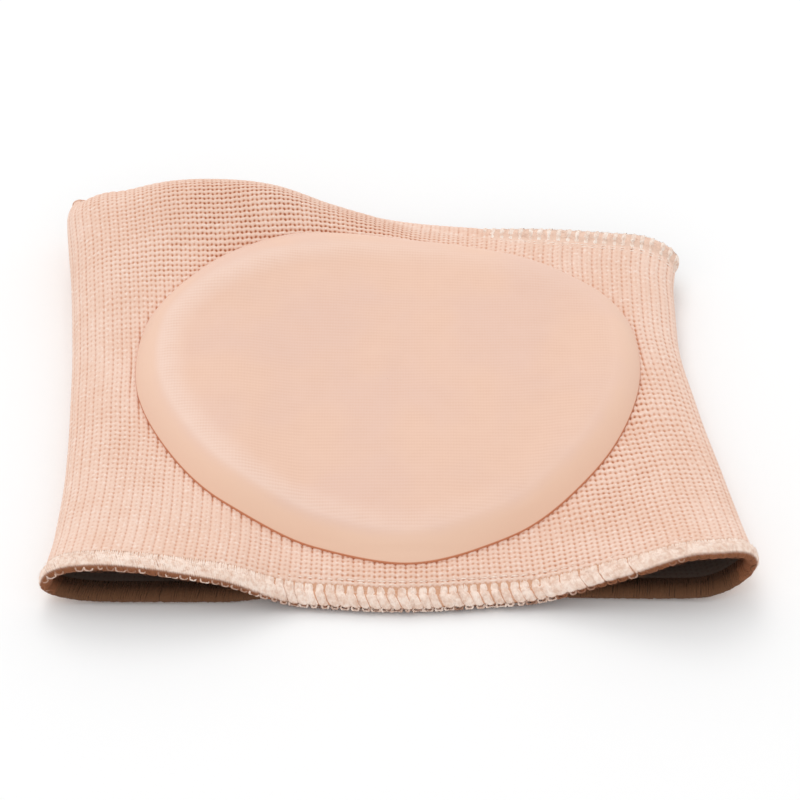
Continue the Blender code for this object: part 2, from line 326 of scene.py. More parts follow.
def smooth_curve(knots, values, slopes, at):
    """Values at `at` on a cubic curve through the knots. The values may have one row per place."""
    at = np.clip(at, knots[0], knots[-1])
    left = np.clip(np.searchsorted(knots, at, side="right") - 1, 0, len(knots) - 2)
    step = knots[left + 1] - knots[left]
    share = (at - knots[left]) / step

    def pick(rows, index):
        if np.ndim(rows) == 1:
            return rows[index]
        return np.take_along_axis(rows, index[..., None], -1)[..., 0]

    rise = blend(share)
    level = (1 - rise) * pick(values, left) + rise * pick(values, left + 1)
    out_of_left = share * (1 - share) ** 2 * step * pick(slopes, left)
    into_right = share**2 * (share - 1) * step * pick(slopes, left + 1)
    return level + out_of_left + into_right


def column(rows, name, at):
    """A table's column, read at `at` along the table's first column."""
    knots = np.array([row[0] for row in rows])
    values = np.array([getattr(row, name) for row in rows])
    return smooth_curve(knots, values, steady_slopes(knots, values), at)


def sheet_value(rows, names, across_knots, across, along):
    """A table's value at places on the wall, smooth in both directions."""
    knots = np.array(across_knots)
    values = np.stack([column(rows, name, along) for name in names], -1)
    return smooth_curve(knots, values, steady_slopes(knots, values), across)


def waviness(places, scale, seed, waves=14):
    """Smooth noise from -1 to 1 at places in metres. `scale` is the length of its waves."""
    source = np.random.default_rng(seed)
    total = np.zeros(places.shape[:-1])
    for _ in range(waves):
        direction = source.normal(size=3)
        turns = 2 * pi / scale * source.uniform(0.6, 1.5)
        start = source.uniform(0, 2 * pi)
        total += np.sin(places @ direction / np.linalg.norm(direction) * turns + start)
    return total / np.sqrt(waves)


class Wall:
    """The sleeve's outer face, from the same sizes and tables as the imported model."""

    fold_start = 0.70
    fold_power = 3.5
    fold_turn_fade = 0.4
    slope_step = 1e-4
    searches = 12
    ripples_from = 0.74
    ripples_over = 0.2
    stretch_at_rest = 0.12
    stretch_fade = 0.1
    least_turn = 1e-6

    def __init__(self, sizes):
        self.sizes = sizes
        self.pressed = sizes.hem_thickness + sizes.gap + sizes.knit_wall
        self.hem_rise = (sizes.hem_thickness - sizes.knit_wall) / 2
        self.half_length = sizes.length / 2 - sizes.hem_width - sizes.gap

    def folds(self, along):
        half = self.sizes.width / 2
        return -half * column(FOLDS, "left", along), half * column(FOLDS, "right", along)

    def roundness(self, across):
        """1 on the open part of a wall, falling to 0 at the very edge of a side fold."""
        into_fold = np.clip((np.abs(across) - self.fold_start) / (1 - self.fold_start), 0, 1)
        return np.sqrt(1 - into_fold**self.fold_power)

    def section_height(self, across, along, upper):
        names = ["left_shoulder", *ACROSS, "right_shoulder"]
        rise = sheet_value(HEIGHTS, names, [-1, *ACROSS.values(), 1], across, along)
        left, right = column(HEIGHTS, "left_fold", along), column(HEIGHTS, "right_fold", along)
        fold_rise = left + (right - left) * (across + 1) / 2
        fold = self.pressed / 2 + self.sizes.lobe_rise * fold_rise
        rippled = blend((along - self.ripples_from) / self.ripples_over)
        ripple = column(RIPPLES, "rise", across) * MM * rippled
        top = self.pressed + self.sizes.lobe_rise * rise + ripple
        full = self.roundness(across)
        return np.where(upper, fold + (top - fold) * full, fold * (1 - full))

    def reaches(self, across, upper):
        """How far the wall reaches to the front and to the rear."""
        return [
            self.half_length
            * np.where(upper, column(end, "upper", across), column(end, "lower", across))
            for end in (FRONT_END, REAR_END)
        ]

    def point(self, around, along):
        around, along = np.broadcast_arrays(np.asarray(around, float), np.asarray(along, float))
        across, side = across_at(around), side_at(around)
        upper = side >= 0
        left, right = self.folds(along)
        x = (left + right) / 2 + across * (right - left) / 2
        z = self.section_height(across, along, upper)
        front, rear = self.reaches(across, upper)
        wall_length = front + rear
        y = -front + wall_length * along

        full = self.roundness(across)
        inward_x, inward_z = -np.sign(across) * (1 - full), -full
        inward = np.hypot(inward_x, inward_z)
        on_top = np.clip(0.5 + side / self.fold_turn_fade, 0, 1)
        for end, longest, from_end, outward in (
            (FRONT_END, self.sizes.front_turn, along * wall_length, -1),
            (REAR_END, self.sizes.rear_turn, (1 - along) * wall_length, 1),
        ):
            turn = np.radians(column(end, "turn", across)) * on_top
            turn_length = longest * (1 + full) / 2
            run = np.clip(turn_length - from_end, 0, None)
            radius = turn_length / np.maximum(turn, self.least_turn)
            depth = radius * (1 - np.cos(run / radius))
            x = x + depth * inward_x / inward
            y = y + outward * (radius * np.sin(run / radius) - run)
            z = z + depth * inward_z / inward

        to_end = np.minimum(along, 1 - along) * wall_length / self.sizes.hem_rise_length
        return np.stack([x, y, z + self.hem_rise * blend(1 - to_end)], -1)

    def frame(self, around, along):
        """Unit vectors: along the wall towards the rear, and out of its outer face."""
        step = self.slope_step
        inside = np.clip(along, step, 1 - step)
        rearward = self.point(around, inside + step) - self.point(around, inside - step)
        sideways = self.point(around + step, inside) - self.point(around - step, inside)
        return unit(rearward), unit(np.cross(sideways, rearward))

    def below(self, x, y):
        """The upper wall's (around, along) at places seen from above."""
        target = np.stack([x, y], -1)
        step, longest_move, lowest, highest = self.slope_step, 0.1, (0.02, 0.0), (0.48, 0.999)
        place = np.stack([np.full_like(x, 0.25), np.full_like(x, 0.5)], -1)
        for _ in range(self.searches):
            around, along = place[..., 0], place[..., 1]
            here = self.point(around, along)[..., :2]
            by_around = (self.point(around + step, along)[..., :2] - here) / step
            by_along = (self.point(around, along + step)[..., :2] - here) / step
            slopes = np.stack([by_around, by_along], -1)
            move = np.linalg.solve(slopes, (target - here)[..., None])[..., 0]
            place = place + np.clip(move, -longest_move, longest_move)
            place = np.clip(place, lowest, highest)
        return place[..., 0], place[..., 1]

    def stretch(self, around, along):
        """How far the knit is stretched open. Below, it lies as it was knitted."""
        names = STRETCHES[0]._fields[1:]
        above = sheet_value(STRETCHES, names, STRETCH_ACROSS, across_at(around), along)
        on_top = np.clip(0.5 + side_at(around) / self.stretch_fade, 0, 1)
        return self.stretch_at_rest + (above - self.stretch_at_rest) * on_top


class Ring:
    """Places round the sleeve, counted from the left fold in ribs or in stitches."""

    def count_places(self, line, pitch):
        """Fit a whole number of places, `pitch` apart, to a line once round the sleeve."""
        steps = np.linalg.norm(np.diff(line, axis=0), axis=1)
        run = np.concatenate([[0], np.cumsum(steps / pitch)])
        self.count = round(run[-1])
        self.by_around = run * self.count / run[-1]
        self.arounds = np.linspace(0, 1, len(run))

    def around(self, place):
        turns = np.floor(place / self.count)
        return np.interp(place - turns * self.count, self.by_around, self.arounds) + turns


class Ribs(Ring):
    """Places on the wall by rib and course."""

    samples = 4000
    end_closeness = 0.14

    def __init__(self, wall):
        self.wall = wall
        sizes = wall.sizes
        line = wall.point(np.linspace(0, 1, self.samples + 1), 0.5)
        rightward = (line[1:, 0] + line[:-1, 0]) / 2 / sizes.width + 0.5
        widening = (sizes.rib_pitch_right - sizes.rib_pitch_left) * rightward
        self.count_places(line, sizes.rib_pitch_left + widening)
        self.above = round(float(np.interp(0.5, self.arounds, self.by_around)))

    def rows(self, around):
        """How many rows the wall has from end to end."""
        return self.wall.sizes.courses * column(ROWS, "share", across_at(around))

    def along(self, share):
        """The place along the wall of a share of its rows, which lie closer near both ends."""
        return share - self.end_closeness * np.sin(2 * pi * share) / (2 * pi)


class Value:
    """A value socket of a shader, so that maths on it reads as Python."""

    def __init__(self, look, socket):
        self.look = look
        self.socket = socket

    def maths(self, operation, *values):
        return self.look.add("ShaderNodeMath", {"operation": operation}, dict(enumerate(values)))

    def __add__(self, other):
        return self.maths("ADD", self, other)

    def __sub__(self, other):
        return self.maths("SUBTRACT", self, other)

    def __rsub__(self, other):
        return self.maths("SUBTRACT", other, self)

    def __mul__(self, other):
        return self.maths("MULTIPLY", self, other)

    def __pow__(self, other):
        return self.maths("POWER", self, other)

    def __rpow__(self, other):
        return self.maths("POWER", other, self)

    __radd__ = __add__
    __rmul__ = __mul__

    def cos(self):
        return self.maths("COSINE", self)

    def between(self, low, high):
        """0 below `low`, 1 above `high`, smooth on the way."""
        settings = {"interpolation_type": "SMOOTHSTEP"}
        inputs = {"Value": self, "From Min": low, "From Max": high}
        return self.look.add("ShaderNodeMapRange", settings, inputs)


class Look:
    """A material with a Principled shader, and the nodes that vary it."""

    mix_sockets = {"share": 0, "first": 6, "second": 7, "result": 2}

    def __init__(self, name):
        self.material = bpy.data.materials.new(name)
        self.material.use_nodes = True
        self.nodes = self.material.node_tree.nodes
        self.shader = self.nodes["Principled BSDF"]

    def plug(self, socket, value):
        if isinstance(value, Value):
            self.material.node_tree.links.new(value.socket, socket)
        elif socket.type == "RGBA":
            socket.default_value = (*value, 1)
        else:
            socket.default_value = value

    def add(self, kind, settings=None, inputs=None, output=0):
        """Any node: its settings first, then the values or links of its sockets."""
        node = self.nodes.new(kind)
        for name, value in (settings or {}).items():
            setattr(node, name, value)
        for name, value in (inputs or {}).items():
            self.plug(node.inputs[name], value)
        return Value(self, node.outputs[output])

    def mix(self, share, first, second):
        """A colour between two colours."""
        at = self.mix_sockets
        inputs = {at["share"]: share, at["first"]: first, at["second"]: second}
        return self.add("ShaderNodeMix", {"data_type": "RGBA"}, inputs, at["result"])

    def coordinate(self, map_name):
        """The two coordinates of a UV map."""
        place = self.add("ShaderNodeUVMap", {"uv_map": map_name})
        across = self.add("ShaderNodeSeparateXYZ", None, {"Vector": place}, "X")
        return across, Value(self, across.socket.node.outputs["Y"])

    def attribute(self, name):
        return self.add("ShaderNodeAttribute", {"attribute_name": name}, output="Fac")

    def noise(self, scale_mm, detail=2.0):
        """Noise from 0 to 1 on the piece's own places, its features about `scale_mm` long."""
        places = self.add("ShaderNodeTexCoord", output="Object")
        inputs = {"Vector": places, "Scale": 1 / (scale_mm * MM), "Detail": detail}
        return self.add("ShaderNodeTexNoise", {"noise_dimensions": "3D"}, inputs)

    def bump(self, height, distance, strength):
        inputs = {"Height": height, "Distance": distance, "Strength": strength}
        self.set(Normal=self.add("ShaderNodeBump", None, inputs))

    def set(self, **sockets):
        for name, value in sockets.items():
            self.plug(self.shader.inputs[name.replace("_", " ")], value)


def wave(turns):
    """1 at whole turns, 0 half way between them, for numbers and for a shader's values alike."""
    angle = turns * (2 * pi)
    cosine = angle.cos() if isinstance(angle, Value) else np.cos(angle)
    return cosine * 0.5 + 0.5


def knit_depth(rib, course, stretch, pressed):
    """How far into a groove or hole of the knit a place lies, from 0 to about 1. Stretched knit
    has two columns of holes to a rib, and its rows waver. Closed knit has one groove to a rib,
    deeper where the pad's rim presses on it. The knit's colour follows this depth, so it also sets
    the painted shade in grooves and holes, and beside the pad's rim."""
    waver, waver_start, row_power, groove_power, column_power = 0.15, 0.12, 1.5, 12, 1.2
    open_rows = wave(course + (wave(rib - waver_start) - 0.5) * waver)
    rows = open_rows**row_power
    groove = wave(rib) ** groove_power
    columns = wave(rib * 2) ** column_power
    stretched = open_rows * (columns * 0.50 + 0.44) + groove * 0.06
    closed_groove = groove * (pressed * 0.45 + 0.20)
    closed = closed_groove + columns * 0.12 + rows * columns * 0.13 + rows * 0.07
    return stretched * stretch + closed * (1 - stretch) + pressed * 0.06


def add_object(name, data):
    added = bpy.data.objects.new(name, data)
    bpy.context.scene.collection.objects.link(added)
    return added


def mesh_piece(name, points, faces, maps, values):
    """A smooth mesh piece from arrays. Maps hold a UV per vertex, values a number per vertex.
    What would reach below the floor lies flat on it."""
    points = points.reshape(-1, 3).copy()
    points[:, 2] = np.maximum(points[:, 2], 0)
    mesh = bpy.data.meshes.new(name)
    mesh.from_pydata(points.tolist(), [], faces.tolist())
    corner = np.empty(len(mesh.loops), np.int32)
    mesh.loops.foreach_get("vertex_index", corner)
    for map_name, places in maps.items():
        layer = mesh.uv_layers.new(name=map_name)
        layer.uv.foreach_set("vector", places.reshape(-1, 2)[corner].astype(np.float32).ravel())
    for value_name, numbers in values.items():
        layer = mesh.attributes.new(value_name, "FLOAT", "POINT")
        layer.data.foreach_set("value", numbers.astype(np.float32).ravel())
    mesh.shade_smooth()
    return add_object(name, mesh)


def grid_faces(rows, columns, closed=False):
    """Quads of a grid whose vertices run row by row. Closed joins the last column to the first."""
    row = np.arange(rows - 1)[:, None] * columns
    start = np.arange(columns if closed else columns - 1)[None]
    after = (start + 1) % columns
    quads = np.stack([row + start, row + after, row + columns + after, row + columns + start], -1)
    return quads.reshape(-1, 4)


def grid_map(rows, columns, margin=0.004):
    """A map that lays a grid out over a whole picture, with a small margin."""
    places = [np.linspace(margin, 1 - margin, count) for count in (columns, rows)]
    return np.stack(np.meshgrid(*places), -1)


def finish_piece(piece, look):
    piece.data.materials.append(look.material)
    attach(piece, BODY)


def knit_look(name, colours, inner_shade=0.0):
    """Ribbed knit: pale stitches, with painted shade, warm in the grooves and darker in the
    holes. Its last argument lays painted shade over all of it, for the inside of the sleeve.
    """
    look = Look(name)
    rib, course = look.coordinate("stitch")
    stretch, pressed = look.attribute("stretch"), look.attribute("pressed")
    # The depth drives the painted shade below; it is deeper beside the pad's rim.
    depth = knit_depth(rib, course, stretch, pressed)
    patches = look.noise(9.0).between(0.35, 0.65)
    flecks = look.noise(0.50, 3.0)
    face = look.mix(patches * 0.7, colours.knit, colours.knit_warm)
    # Painted highlights, as pale flecks at random on the yarn.
    face = look.mix((flecks - 0.5).between(0.0, 0.22) * 0.55, face, colours.knit_highlight_fleck)
    uneven = look.noise(1.1) * 0.5 + 0.75
    # Painted shade in the grooves, by their depth.
    painted_groove_shade = (depth * uneven + flecks * 0.08 - 0.04).between(0.04, 0.86)
    shaded = look.mix(painted_groove_shade, face, colours.groove)
    # Painted shade in the holes of stretched knit.
    painted_hole_shade = (depth * uneven * (stretch * 0.6 + 0.4)).between(0.48, 1.0)
    surface = look.mix(painted_hole_shade, shaded, colours.hole)
    # Painted shade over the whole knit, for the inside of the sleeve.
    if inner_shade:
        surface = look.mix(inner_shade, surface, colours.lining)
    look.set(Base_Color=surface, Roughness=0.92, Sheen_Weight=0.12, Specular_IOR_Level=0.2)
    yarn = look.noise(0.22)
    look.bump(yarn * 0.4 - depth * 0.8, 0.14 * MM, 0.6)
    return look


def knit_mesh(name, points, faces, rib, course, stretch, pressed=0.0):
    """A mesh piece of knit on a grid of ribs and courses. Vertices without a face are left out."""
    used, faces = np.unique(faces, return_inverse=True)

    def kept(values):
        return values.reshape(rib.size, -1)[used]

    maps = {"stitch": kept(np.stack([rib, course], -1)), "OFBake": kept(grid_map(*rib.shape))}
    values = {"stretch": kept(stretch + 0 * rib), "pressed": kept(pressed + 0 * rib)}
    return mesh_piece(name, kept(points), faces.reshape(-1, 4), maps, values)


def knit_piece(name, ribs, rib_range, per_rib, per_course, outside_pad=None):
    """A stretch of the sleeve's outer face with its ribs and stitches in relief. Rows that the
    rear end cuts off are left out, and so are the faces that the pad hides."""
    wall, sizes = ribs.wall, ribs.wall.sizes
    rib_sway, course_sway, stretch_sway, depth_sway, rounding = 0.06, 0.30, 0.10, 0.15, 0.35
    press_reach, hidden_from = 1.6 * MM, 2.5 * MM
    rib, course = np.meshgrid(
        np.linspace(*rib_range, (rib_range[1] - rib_range[0]) * per_rib + 1),
        np.linspace(0, sizes.courses, sizes.courses * per_course + 1),
    )
    rows = ribs.rows(ribs.around(rib))
    past_end = course > rows
    course = np.minimum(course, rows)
    flat = wall.point(ribs.around(rib), course / rows)
    around = ribs.around(rib + rib_sway * waviness(flat, 15 * MM, seed=3))
    sway = course_sway * waviness(flat, 13 * MM, seed=4) * np.sin(pi * course / rows)
    along = ribs.along(np.clip((course + sway) / rows, 0, 1))
    outer = wall.point(around, along)
    normal = wall.frame(around, along)[1]
    uneven = stretch_sway * waviness(flat, 6 * MM, seed=5)
    stretch = np.clip(wall.stretch(around, along) + uneven, 0, 1)
    clearance = outside_pad(outer) if outside_pad else np.full(rib.shape, np.inf)
    # Closeness to the pad's rim: it deepens the grooves there, and through the colour it paints shade
    # beside the rim.
    pressed = blend(1 - clearance / press_reach)

    depth = knit_depth(rib, course, stretch, pressed)
    depth = depth * (1 + depth_sway * waviness(outer, 1.2 * MM, seed=6))
    depth = depth + rounding * (1 - stretch) * wave(rib)
    points = outer - normal * (sizes.relief * depth)[..., None]
    faces = grid_faces(*rib.shape)
    hidden = clearance < -hidden_from
    faces = faces[~(past_end.ravel()[faces].all(1) | hidden.ravel()[faces].all(1))]
    return knit_mesh(name, points, faces, rib, course, stretch, pressed)


def closed_curve(corners, steps):
    """`steps` places on a smooth closed curve through the corners."""
    corners = np.array(corners, float)
    count = len(corners)
    around = np.concatenate([corners[-2:], corners, corners[:3]]).T
    knots = np.arange(-2, count + 3)
    at = np.arange(steps) * count / steps
    return np.stack([smooth_curve(knots, row, np.gradient(row), at) for row in around], -1)


def pad_plan(wall, pad, steps):
    """The pad's outline and middle, seen from above."""
    left, right = wall.folds(0.5)
    front = -wall.half_length * column(FRONT_END, "upper", 0)
    rear = wall.half_length * column(REAR_END, "upper", 0)
    low = np.array([left + pad.left, front + pad.front])
    high = np.array([right - pad.right, rear - pad.rear])
    middle = (low + high) / 2
    return middle + closed_curve(PAD_OUTLINE, steps) * (high - low) / 2, middle


def clearance_from_pad(wall, pad):
    """A function that gives how far places lie outside the pad's rim, seen from above."""
    outline, middle = pad_plan(wall, pad, 360)

    def polar(points):
        spoke = points - middle
        return np.arctan2(spoke[..., 1], spoke[..., 0]), np.linalg.norm(spoke, axis=-1)

    angles, reach = polar(outline)
    order = np.argsort(angles)

    def outside(points):
        angle, distance = polar(points[..., :2])
        return distance - np.interp(angle, angles[order], reach[order], period=2 * pi)

    return outside


def tubes(paths, radii, outwards, sides):
    """Vertices, faces and a map for many thin tubes. Paths and outwards: tube, step, xyz."""
    count, steps = paths.shape[:2]
    tangent = unit(np.gradient(paths, axis=1))
    side = unit(np.cross(tangent, outwards))
    up = np.cross(side, tangent)
    turns = (2 * pi * np.arange(sides) / sides)[:, None]
    ring = side[:, :, None] * np.cos(turns) + up[:, :, None] * np.sin(turns)
    points = paths[:, :, None] + ring * np.broadcast_to(radii, (count, steps))[:, :, None, None]
    starts = np.arange(count)[:, None, None] * steps * sides
    faces = grid_faces(steps, sides, closed=True)[None] + starts

    cells = int(np.ceil(np.sqrt(count)))
    cell = np.stack([np.arange(count) % cells, np.arange(count) // cells], -1)[:, None, None]
    places = (cell + grid_map(steps, sides, margin=0.1)[None]) / cells
    return points.reshape(-1, 3), faces.reshape(-1, 4), places.reshape(-1, 2)


class Edge(Ring):
    """One opening's edge: places by overlock stitch round it, and by angle round its section."""

    samples = 2400
    corner_middle = 0.03
    corner_reach = 0.10
    corner_squeeze = 0.94
    corner_pull = 0.8 * MM
    tuck_start = 0.10
    tuck_end = 0.325

    def __init__(self, wall, threads, along):
        self.wall = wall
        self.threads = threads
        self.along = along
        line = self.section(np.linspace(0, 1, self.samples + 1))[0]
        self.count_places(line, threads.stitch)

    def upper(self, stitch):
        """1 on the upper wall's edge, 0 on the lower wall's, with a soft change at the folds."""
        past_fold = 0.40 - 0.28 * self.along
        return blend((side_at(self.around(stitch)) + past_fold) / 0.35)

    def even(self, stitch):
        """1 where the threads lie together as one soft roll, 0 where each stitch is a bundle."""
        across = across_at(self.around(stitch))
        above = 0 if self.along else column(FRONT_THREAD, "even", across)
        return 1 - self.upper(stitch) * (1 - above)

    def rolled(self, stitch):
        """1 at the rear left, where the knit is rolled over the hem's corner."""
        from_corner = np.abs((self.around(stitch) - self.corner_middle + 0.5) % 1 - 0.5)
        return self.along * blend((self.corner_reach - from_corner) / 0.03)

    def tucked(self, stitch):
        """1 where the rear end turns down so far that the knit covers the hem's back."""
        around = self.around(stitch) % 1
        started = blend((around - self.tuck_start) / 0.04)
        return self.along * started * blend((self.tuck_end - around) / 0.025)

    def covered(self, stitch):
        """1 where the knit covers the hem's back."""
        return np.maximum(self.rolled(stitch), self.tucked(stitch))

    def low_side(self, stitch, angle):
        """How much painted shade the edge gets, as brown: fully on the side that faces the foot,
        which starts higher up on the lower wall."""
        upper, lower_start, softness = self.upper(stitch), 70, 20
        start = np.radians(lower_start - (18 + 20 * (1 - self.even(stitch))) * upper)
        return blend((start - angle) / np.radians(softness)) * (1 - 0.40 * upper)

    def section(self, around):
        """Middle of the hem's section, and unit vectors out of the opening and of the cloth."""
        sizes = self.wall.sizes
        end = np.full(np.shape(around), float(self.along))
        rearward, normal = self.wall.frame(around, end)
        outward = rearward if self.along else -rearward
        middle = self.wall.point(around, end) - normal * sizes.knit_wall / 2
        return middle + outward * (sizes.gap + sizes.hem_width / 2), outward, normal

    def on_band(self, stitch, angle, lift):
        """A point on the hem's rounded surface, and the way out of it. 0 is the free edge, a
        quarter turn the outer face. `lift` is measured from the surface."""
        sizes = self.wall.sizes
        middle, outward, normal = self.section(self.around(stitch))
        rolled = self.rolled(stitch)[..., None]
        squeeze = self.corner_squeeze * rolled
        half_width = sizes.hem_width / 2 * (1 - squeeze)
        half_height = sizes.hem_thickness / 2 * (1 - squeeze / 2)
        middle = middle - outward * (sizes.hem_width / 2 - half_width + self.corner_pull * rolled)
        cosine, sine = np.cos(angle)[..., None], np.sin(angle)[..., None]
        way_out = unit(outward * cosine * half_height + normal * sine * half_width)
        surface = middle + outward * cosine * half_width + normal * sine * half_height
        return surface + way_out * np.asarray(lift)[..., None], way_out

    def on_knit(self, stitch, back, lift):
        """A point on the knit, `back` from its end, and the way out of it. A negative lift below
        the wall's thickness reaches its inner face."""
        around = self.around(stitch)
        front, rear = self.wall.reaches(across_at(around), side_at(around) >= 0)
        share = np.broadcast_to(back / (front + rear), np.shape(around))
        along = 1 - share if self.along else share
        normal = self.wall.frame(around, along)[1]
        return self.wall.point(around, along) + normal * np.asarray(lift)[..., None], normal


def read_finer(values, knots, places):
    """Values along the first axis, read at more places on smooth curves."""
    rows = values.reshape(len(knots), -1).T
    finer = [smooth_curve(knots, row, np.gradient(row, knots), places) for row in rows]
    return np.array(finer).T.reshape(len(places), *values.shape[1:])


def smooth_path(points, steps):
    """More points on smooth curves through each row of points."""
    knots = np.arange(points.shape[1])
    places = np.linspace(0, knots[-1], steps)
    return np.swapaxes(read_finer(np.swapaxes(points, 0, 1), knots, places), 0, 1)


def overlock_strands(edge, source, bundle):
    """Slanting bundles of strands from the needle line, over the edge and back inside. `bundle`
    is the share of a stitch that its strands cover. Each bundle is narrow and low at its ends."""
    threads, wall = edge.threads, edge.wall
    sides, steps, full_width, covered_depth = 5, 18, 1.05, 0.45 * MM
    degrees = np.array([144, 118, 92, 66, 40, 14, -14, -50, -92, -140])
    spread = np.interp(-degrees, [-144, -108, -56, -14, 20, 60], [0.84, 0.98, 1.0, 0.80, 0.75, 1.0])
    dip = np.interp(-degrees, [-144, -112, -44, -14, 20, 60], [0.16, 0.02, 0.0, 0.20, 0.16, 0.05])
    slant = np.interp(-degrees, [-120, 0, 140], [0.0, 0.78, 0.45]) * (1 - 0.7 * edge.along)

    strand = np.arange(edge.count * threads.strands)
    stitch = (strand // threads.strands)[:, None]
    place = (strand % threads.strands / (threads.strands - 1) - 0.5)[:, None]
    even, rolled = edge.even(stitch + 0.5), edge.rolled(stitch + 0.5)
    wide = (bundle + (full_width - bundle) * even) * (spread + (1 - spread) * even)
    each = 1 + 0.12 * source.normal(size=edge.count)[stitch]
    start = stitch + 0.5 + 0.05 * source.normal(size=edge.count)[stitch]
    at = start + wide * place * each + slant * each
    at = at + 0.02 * source.normal(size=at.shape)
    round_off = (0.30 - 0.22 * even) * (2 * place) ** 2 * bundle
    rough = 0.03 * np.abs(source.normal(size=at.shape))
    lift = -threads.strand - (round_off + dip * (1 - 0.8 * even) + rough) * MM
    band, band_out = edge.on_band(at, np.broadcast_to(np.radians(degrees), at.shape), lift)

    back = threads.reach * (1 + 0.15 * source.normal(size=len(strand)))
    under = -1.2 * threads.strand
    outer_lift = under - covered_depth * edge.rolled(at[:, 0])
    above, above_out = edge.on_knit(at[:, 0], back, outer_lift)
    inner_lift = np.full(len(strand), -wall.sizes.knit_wall - under)
    inside, inside_out = edge.on_knit(at[:, -1], back, inner_lift)
    path = np.concatenate([above[:, None], band, inside[:, None]], 1)
    outwards = np.concatenate([above_out[:, None], band_out, -inside_out[:, None]], 1)
    path, outwards = smooth_path(path, steps), unit(smooth_path(outwards, steps))
    radius = threads.strand * (1 + 0.10 * source.normal(size=path.shape[:2]).clip(-2, 2))
    radius[:, [0, -1]] *= 0.5
    radius *= 1 - 0.7 * rolled
    knots = np.radians([165, *degrees, -165])
    angle = np.interp(np.linspace(0, len(knots) - 1, steps), np.arange(len(knots)), knots)
    # Painted shade on the strands: brown on the free edge and on the side towards the foot.
    brown = edge.low_side(stitch + 1.0, angle[None]) * (1 - rolled)
    return path, radius, outwards, brown, sides


def edge_loops(edge, source):
    """A small loop that hangs over the free edge from the lower end of each stitch."""
    stitch = np.arange(edge.count)[:, None]
    share = np.linspace(-0.1, 1.1, 13)[None]
    hang = np.sin(pi * np.clip(share, 0, 1)) ** 0.8
    each = 1 + 0.22 * source.normal(size=stitch.shape)
    start = stitch + 1.06 + 0.06 * source.normal(size=stitch.shape)
    at = start - 0.36 * each * np.cos(pi * share)
    angle = np.radians(24 - 40 * each * hang)
    in_sight = 1 - edge.rolled(at)
    above = edge.upper(at) * in_sight
    lift = 0.20 * above * (1 - 0.6 * edge.even(at)) - 0.30 - 0.25 * (np.abs(share - 0.5) > 0.5)
    path, outwards = edge.on_band(at, angle, lift * MM)
    pale = above * column(FRONT_THREAD, "loops", across_at(edge.around(at)))
    pale = pale * (1 - 0.4 * edge.along)
    # Painted shade on the loops, brown where they are not pale.
    brown = np.clip(1 - pale + 0.12 * source.normal(size=stitch.shape), 0, 1) * in_sight
    radius = edge.threads.strand * (0.55 + 0.35 * pale) * (0.3 + 0.7 * in_sight)
    return path, radius, outwards, brown, 5


def line_stitches(edge, source, back, dip):
    """A line of thread behind the hem. It sinks into the knit by `dip` between stitches."""
    stitch = np.arange(edge.count)[:, None]
    share = np.linspace(0, 1, 7)[None]
    at = stitch + share
    sunk = 0.09 + 0.3 * np.maximum(0.6 * edge.even(at), edge.covered(at))
    line = back + 0.04 * MM * source.normal(size=stitch.shape) * np.sin(pi * share)
    path, outwards = edge.on_knit(at, line, -sunk * MM - dip * np.cos(pi * share) ** 2)
    return path, edge.threads.strand * 0.55, outwards, np.zeros(at.shape), 5


def loose_fibres(edge, source):
    """Fine curled fibres that stand out of the woolly thread."""
    size = (edge.threads.fibres, 1)
    stitch = source.uniform(0, edge.count, size)
    angle = np.radians(source.uniform(-50, 150, size))
    share = np.linspace(0, 1, 6)[None]
    reach = source.uniform(0.25, 0.9, size) * MM
    drift = source.normal(size=size) * 0.6
    swing = source.normal(size=size) * 0.45
    lift = reach * np.sin(share * source.uniform(1.2, 3.0, size)) * 0.45 - 0.22 * MM
    curl = 0.12 * np.sin(share * source.uniform(3, 9, size))
    at, angle = stitch + drift * share + curl, angle + swing * share
    above = 0.3 + 0.7 * edge.upper(stitch)
    shown = (1 - edge.covered(stitch)) * above * (1 - 0.5 * edge.along)
    path, outwards = edge.on_band(at, angle, lift * shown - (1 - shown) * 0.3 * MM)
    # The fibres carry the edge's painted shade.
    return path, edge.threads.fibre * (1 - 0.6 * share), outwards, edge.low_side(at, angle), 3


def thread_look(name, tone, dip, colours):
    """Woolly thread, uneven in tone, with painted shade: brown along the free edge and darker on the
    side that faces the foot."""
    look = Look(name)
    fine = look.noise(0.6, 3.0).between(0.34, 0.60) * 0.6
    clumps = fine + look.noise(1.6).between(0.34, 0.62) * 0.4
    # Darker clumps at random: partly uneven tone, partly painted shade between the fluffy clumps.
    uneven = look.mix(clumps, dip, tone)
    low_side = look.attribute("low_side")
    # Painted shade: brown on the free edge, darker brown on the side towards the foot.
    with_fringe_shade = look.mix(low_side.between(0.0, 0.6), uneven, colours.hem_fringe_shade)
    surface = look.mix(low_side.between(0.6, 1.0), with_fringe_shade, colours.hem_shade)
    look.set(Base_Color=surface, Roughness=0.95, Sheen_Weight=0.06, Specular_IOR_Level=0.15)
    look.bump(look.noise(0.14, 3.0), 0.10 * MM, 0.8)
    return look


def thread_piece(name, parts):
    """One mesh piece of several sets of tubes. Each keeps its own square of the map."""
    points, faces, places, shades = [], [], [], []
    start, cells = 0, int(np.ceil(np.sqrt(len(parts))))
    for index, (path, radius, outwards, low_side, sides) in enumerate(parts):
        vertices, quads, uv = tubes(path, radius, outwards, sides)
        points.append(vertices)
        faces.append(quads + start)
        places.append((uv + [index % cells, index // cells]) / cells)
        # Each vertex carries its share of painted shade.
        shades.append(np.repeat(low_side[..., None], sides, -1).ravel())
        start += len(vertices)
    maps, values = {"OFBake": np.concatenate(places)}, {"low_side": np.concatenate(shades)}
    return mesh_piece(name, np.concatenate(points), np.concatenate(faces), maps, values)


